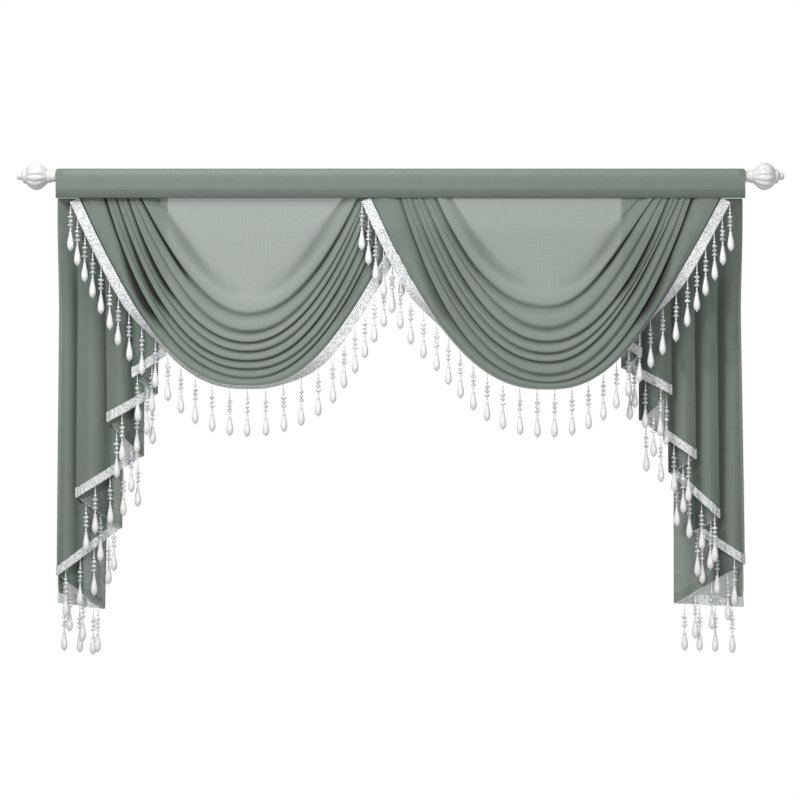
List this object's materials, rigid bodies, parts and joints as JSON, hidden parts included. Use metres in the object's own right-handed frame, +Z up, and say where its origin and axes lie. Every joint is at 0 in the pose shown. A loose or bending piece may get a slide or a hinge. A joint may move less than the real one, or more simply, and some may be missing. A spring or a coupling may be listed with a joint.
{
  "type": "swag and tail drape on a rod",
  "caption": "Sheer rod-pocket valance with overlapping swags, a pleated cascade tail at each side and beaded braid hems, on a plain rod with fluted ball finials.",
  "frame": {"origin": "middle of the rod, on its axis", "axes": "+X along the rod to the right seen from the room, +Y towards the wall, +Z up"},
  "size_m": [1.228, 0.1287, 0.7939],
  "materials": {
    "rod_white": "white satin paint",
    "finial_white": "white satin resin",
    "sage_voile": "sheer sage voile",
    "beaded_braid": "white and silver plaited braid with clear crystals and pearl drops"
  },
  "bodies": {
    "root": {"rod": "rod_white", "finial_left": "finial_white", "finial_right": "finial_white", "heading": "sage_voile", "swag_left": "sage_voile", "swag_right": "sage_voile", "tail_left": "sage_voile", "tail_right": "sage_voile", "fringe_swag_left": "beaded_braid", "fringe_swag_right": "beaded_braid", "fringe_tail_left": "beaded_braid", "fringe_tail_right": "beaded_braid"}
  },
  "joints": []
}
